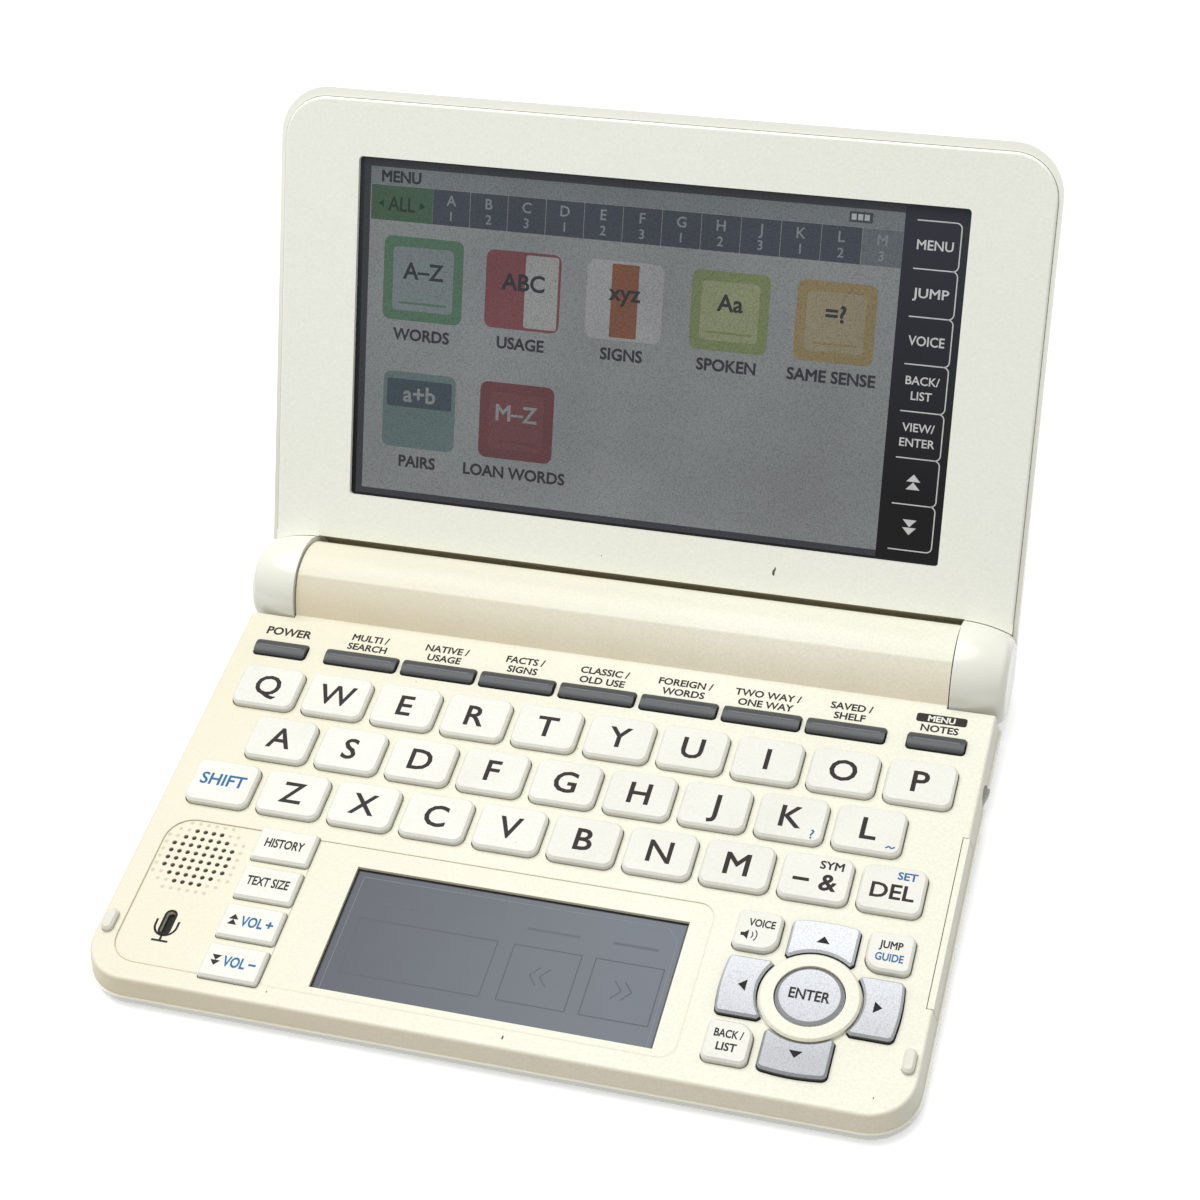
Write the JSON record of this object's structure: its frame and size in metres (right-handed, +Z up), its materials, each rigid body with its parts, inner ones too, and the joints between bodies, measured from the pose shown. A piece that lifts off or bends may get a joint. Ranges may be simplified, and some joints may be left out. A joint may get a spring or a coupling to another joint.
{
  "type": "electronic dictionary",
  "caption": "Clamshell electronic dictionary with a colour display, letter keys, a handwriting panel and a battery barrel at the hinge.",
  "frame": {"origin": "on the table under the middle of the part's bounding box, lid open as it stands", "axes": "+X to the user's right, +Y from the user to the hinge, +Z up"},
  "size_m": [0.148, 0.1524, 0.0924],
  "materials": {
    "cream_case": "satin cream moulded plastic",
    "white_cover": "glossy white moulded plastic",
    "bezel_white": "fine satin off-white plastic",
    "key_white": "satin ivory keycap plastic with printed letters",
    "bar_grey": "satin dark grey plastic",
    "key_silver": "silver lacquer on plastic",
    "window_glass": "touch glass with a black printed border",
    "display": "colour display module",
    "pad_film": "grey-blue handwriting display under film",
    "board": "green circuit board with dark chips",
    "silicone": "translucent silicone",
    "steel": "plain steel",
    "screw_steel": "nickel plated steel",
    "cell_wrap": "plain wrapped cells",
    "contact_metal": "nickel plated spring and plates",
    "foot_rubber": "pale soft rubber",
    "stylus_cream": "satin cream plastic",
    "speaker_black": "dark metal frame and paper cone"
  },
  "bodies": {
    "base": {"top_case": "cream_case", "bottom_case": "white_cover", "battery_cells": "cell_wrap", "battery_contacts": "contact_metal", "hinge_shafts": "steel", "key_sheet": "silicone", "main_board": "board", "pad_panel": "pad_film", "speaker": "speaker_black", "lid_cushions": "foot_rubber", "case_screws": "screw_steel", "rubber_feet": "foot_rubber"},
    "lid": {"lid_cover": "white_cover", "lid_bezel": "bezel_white", "display_window": "window_glass", "display_panel": "display"},
    "battery_cover": {"battery_cover": "white_cover"},
    "stylus": {"stylus": "stylus_cream"},
    "function_keys": {"function_keys": "bar_grey"},
    "key_shift": {"key_shift": "key_white"},
    "key_z": {"key_z": "key_white"},
    "key_x": {"key_x": "key_white"},
    "key_c": {"key_c": "key_white"},
    "key_v": {"key_v": "key_white"},
    "key_b": {"key_b": "key_white"},
    "key_n": {"key_n": "key_white"},
    "key_m": {"key_m": "key_white"},
    "key_symbol": {"key_symbol": "key_white"},
    "key_delete": {"key_delete": "key_white"},
    "key_a": {"key_a": "key_white"},
    "key_s": {"key_s": "key_white"},
    "key_d": {"key_d": "key_white"},
    "key_f": {"key_f": "key_white"},
    "key_g": {"key_g": "key_white"},
    "key_h": {"key_h": "key_white"},
    "key_j": {"key_j": "key_white"},
    "key_k": {"key_k": "key_white"},
    "key_l": {"key_l": "key_white"},
    "key_q": {"key_q": "key_white"},
    "key_w": {"key_w": "key_white"},
    "key_e": {"key_e": "key_white"},
    "key_r": {"key_r": "key_white"},
    "key_t": {"key_t": "key_white"},
    "key_y": {"key_y": "key_white"},
    "key_u": {"key_u": "key_white"},
    "key_i": {"key_i": "key_white"},
    "key_o": {"key_o": "key_white"},
    "key_p": {"key_p": "key_white"},
    "key_volume_down": {"key_volume_down": "key_white"},
    "key_volume_up": {"key_volume_up": "key_white"},
    "key_text_size": {"key_text_size": "key_white"},
    "key_history": {"key_history": "key_white"},
    "key_up": {"key_up": "key_silver"},
    "key_left": {"key_left": "key_silver"},
    "key_down": {"key_down": "key_silver"},
    "key_right": {"key_right": "key_silver"},
    "key_enter": {"key_enter": "key_silver"},
    "key_voice": {"key_voice": "key_white"},
    "key_jump": {"key_jump": "key_white"},
    "key_back": {"key_back": "key_white"}
  },
  "joints": [
    {"name": "lid_hinge", "type": "hinge", "parent": "base", "child": "lid", "pos_m": [0, 0.02047, 0.00997], "axis": [-1, 0, 0], "range_deg": [-122.2, 22.8]},
    {"name": "battery_cover_release", "type": "slide", "parent": "base", "child": "battery_cover", "axis": [0, 0.3396, -0.9406], "range_m": [0, 0.012]},
    {"name": "stylus_slide", "type": "slide", "parent": "base", "child": "stylus", "axis": [1, 0, 0], "range_m": [0, 0.012]},
    {"name": "function_keys_tilt", "type": "hinge", "parent": "base", "child": "function_keys", "pos_m": [0, 0.00729, 0.00911], "axis": [1, 0, 0], "range_deg": [0, 3.2], "stiffness_Nm_per_rad": 0.03, "springref_deg": -28.65},
    {"name": "key_shift_press", "type": "slide", "parent": "base", "child": "key_shift", "axis": [0, -0.041, 0.9992], "range_m": [-0.0005, 0], "stiffness_N_per_m": 400, "springref_m": 0.0003},
    {"name": "key_z_press", "type": "slide", "parent": "base", "child": "key_z", "axis": [0, -0.041, 0.9992], "range_m": [-0.0005, 0], "stiffness_N_per_m": 400, "springref_m": 0.0003},
    {"name": "key_x_press", "type": "slide", "parent": "base", "child": "key_x", "axis": [0, -0.041, 0.9992], "range_m": [-0.0005, 0], "stiffness_N_per_m": 400, "springref_m": 0.0003},
    {"name": "key_c_press", "type": "slide", "parent": "base", "child": "key_c", "axis": [0, -0.041, 0.9992], "range_m": [-0.0005, 0], "stiffness_N_per_m": 400, "springref_m": 0.0003},
    {"name": "key_v_press", "type": "slide", "parent": "base", "child": "key_v", "axis": [0, -0.041, 0.9992], "range_m": [-0.0005, 0], "stiffness_N_per_m": 400, "springref_m": 0.0003},
    {"name": "key_b_press", "type": "slide", "parent": "base", "child": "key_b", "axis": [0, -0.041, 0.9992], "range_m": [-0.0005, 0], "stiffness_N_per_m": 400, "springref_m": 0.0003},
    {"name": "key_n_press", "type": "slide", "parent": "base", "child": "key_n", "axis": [0, -0.041, 0.9992], "range_m": [-0.0005, 0], "stiffness_N_per_m": 400, "springref_m": 0.0003},
    {"name": "key_m_press", "type": "slide", "parent": "base", "child": "key_m", "axis": [0, -0.041, 0.9992], "range_m": [-0.0005, 0], "stiffness_N_per_m": 400, "springref_m": 0.0003},
    {"name": "key_symbol_press", "type": "slide", "parent": "base", "child": "key_symbol", "axis": [0, -0.041, 0.9992], "range_m": [-0.0005, 0], "stiffness_N_per_m": 400, "springref_m": 0.0003},
    {"name": "key_delete_press", "type": "slide", "parent": "base", "child": "key_delete", "axis": [0, -0.041, 0.9992], "range_m": [-0.0005, 0], "stiffness_N_per_m": 400, "springref_m": 0.0003},
    {"name": "key_a_press", "type": "slide", "parent": "base", "child": "key_a", "axis": [0, -0.041, 0.9992], "range_m": [-0.0005, 0], "stiffness_N_per_m": 400, "springref_m": 0.0003},
    {"name": "key_s_press", "type": "slide", "parent": "base", "child": "key_s", "axis": [0, -0.041, 0.9992], "range_m": [-0.0005, 0], "stiffness_N_per_m": 400, "springref_m": 0.0003},
    {"name": "key_d_press", "type": "slide", "parent": "base", "child": "key_d", "axis": [0, -0.041, 0.9992], "range_m": [-0.0005, 0], "stiffness_N_per_m": 400, "springref_m": 0.0003},
    {"name": "key_f_press", "type": "slide", "parent": "base", "child": "key_f", "axis": [0, -0.041, 0.9992], "range_m": [-0.0005, 0], "stiffness_N_per_m": 400, "springref_m": 0.0003},
    {"name": "key_g_press", "type": "slide", "parent": "base", "child": "key_g", "axis": [0, -0.041, 0.9992], "range_m": [-0.0005, 0], "stiffness_N_per_m": 400, "springref_m": 0.0003},
    {"name": "key_h_press", "type": "slide", "parent": "base", "child": "key_h", "axis": [0, -0.041, 0.9992], "range_m": [-0.0005, 0], "stiffness_N_per_m": 400, "springref_m": 0.0003},
    {"name": "key_j_press", "type": "slide", "parent": "base", "child": "key_j", "axis": [0, -0.041, 0.9992], "range_m": [-0.0005, 0], "stiffness_N_per_m": 400, "springref_m": 0.0003},
    {"name": "key_k_press", "type": "slide", "parent": "base", "child": "key_k", "axis": [0, -0.041, 0.9992], "range_m": [-0.0005, 0], "stiffness_N_per_m": 400, "springref_m": 0.0003},
    {"name": "key_l_press", "type": "slide", "parent": "base", "child": "key_l", "axis": [0, -0.041, 0.9992], "range_m": [-0.0005, 0], "stiffness_N_per_m": 400, "springref_m": 0.0003},
    {"name": "key_q_press", "type": "slide", "parent": "base", "child": "key_q", "axis": [0, -0.041, 0.9992], "range_m": [-0.0005, 0], "stiffness_N_per_m": 400, "springref_m": 0.0003},
    {"name": "key_w_press", "type": "slide", "parent": "base", "child": "key_w", "axis": [0, -0.041, 0.9992], "range_m": [-0.0005, 0], "stiffness_N_per_m": 400, "springref_m": 0.0003},
    {"name": "key_e_press", "type": "slide", "parent": "base", "child": "key_e", "axis": [0, -0.041, 0.9992], "range_m": [-0.0005, 0], "stiffness_N_per_m": 400, "springref_m": 0.0003},
    {"name": "key_r_press", "type": "slide", "parent": "base", "child": "key_r", "axis": [0, -0.041, 0.9992], "range_m": [-0.0005, 0], "stiffness_N_per_m": 400, "springref_m": 0.0003},
    {"name": "key_t_press", "type": "slide", "parent": "base", "child": "key_t", "axis": [0, -0.041, 0.9992], "range_m": [-0.0005, 0], "stiffness_N_per_m": 400, "springref_m": 0.0003},
    {"name": "key_y_press", "type": "slide", "parent": "base", "child": "key_y", "axis": [0, -0.041, 0.9992], "range_m": [-0.0005, 0], "stiffness_N_per_m": 400, "springref_m": 0.0003},
    {"name": "key_u_press", "type": "slide", "parent": "base", "child": "key_u", "axis": [0, -0.041, 0.9992], "range_m": [-0.0005, 0], "stiffness_N_per_m": 400, "springref_m": 0.0003},
    {"name": "key_i_press", "type": "slide", "parent": "base", "child": "key_i", "axis": [0, -0.041, 0.9992], "range_m": [-0.0005, 0], "stiffness_N_per_m": 400, "springref_m": 0.0003},
    {"name": "key_o_press", "type": "slide", "parent": "base", "child": "key_o", "axis": [0, -0.041, 0.9992], "range_m": [-0.0005, 0], "stiffness_N_per_m": 400, "springref_m": 0.0003},
    {"name": "key_p_press", "type": "slide", "parent": "base", "child": "key_p", "axis": [0, -0.041, 0.9992], "range_m": [-0.0005, 0], "stiffness_N_per_m": 400, "springref_m": 0.0003},
    {"name": "key_volume_down_press", "type": "slide", "parent": "base", "child": "key_volume_down", "axis": [0, -0.041, 0.9992], "range_m": [-0.0005, 0], "stiffness_N_per_m": 400, "springref_m": 0.0003},
    {"name": "key_volume_up_press", "type": "slide", "parent": "base", "child": "key_volume_up", "axis": [0, -0.041, 0.9992], "range_m": [-0.0005, 0], "stiffness_N_per_m": 400, "springref_m": 0.0003},
    {"name": "key_text_size_press", "type": "slide", "parent": "base", "child": "key_text_size", "axis": [0, -0.041, 0.9992], "range_m": [-0.0005, 0], "stiffness_N_per_m": 400, "springref_m": 0.0003},
    {"name": "key_history_press", "type": "slide", "parent": "base", "child": "key_history", "axis": [0, -0.041, 0.9992], "range_m": [-0.0005, 0], "stiffness_N_per_m": 400, "springref_m": 0.0003},
    {"name": "key_up_press", "type": "slide", "parent": "base", "child": "key_up", "axis": [0, -0.041, 0.9992], "range_m": [-0.0005, 0], "stiffness_N_per_m": 400, "springref_m": 0.0003},
    {"name": "key_left_press", "type": "slide", "parent": "base", "child": "key_left", "axis": [0, -0.041, 0.9992], "range_m": [-0.0005, 0], "stiffness_N_per_m": 400, "springref_m": 0.0003},
    {"name": "key_down_press", "type": "slide", "parent": "base", "child": "key_down", "axis": [0, -0.041, 0.9992], "range_m": [-0.0005, 0], "stiffness_N_per_m": 400, "springref_m": 0.0003},
    {"name": "key_right_press", "type": "slide", "parent": "base", "child": "key_right", "axis": [0, -0.041, 0.9992], "range_m": [-0.0005, 0], "stiffness_N_per_m": 400, "springref_m": 0.0003},
    {"name": "key_enter_press", "type": "slide", "parent": "base", "child": "key_enter", "axis": [0, -0.041, 0.9992], "range_m": [-0.0005, 0], "stiffness_N_per_m": 400, "springref_m": 0.0003},
    {"name": "key_voice_press", "type": "slide", "parent": "base", "child": "key_voice", "axis": [0, -0.041, 0.9992], "range_m": [-0.0005, 0], "stiffness_N_per_m": 400, "springref_m": 0.0003},
    {"name": "key_jump_press", "type": "slide", "parent": "base", "child": "key_jump", "axis": [0, -0.041, 0.9992], "range_m": [-0.0005, 0], "stiffness_N_per_m": 400, "springref_m": 0.0003},
    {"name": "key_back_press", "type": "slide", "parent": "base", "child": "key_back", "axis": [0, -0.041, 0.9992], "range_m": [-0.0005, 0], "stiffness_N_per_m": 400, "springref_m": 0.0003}
  ]
}
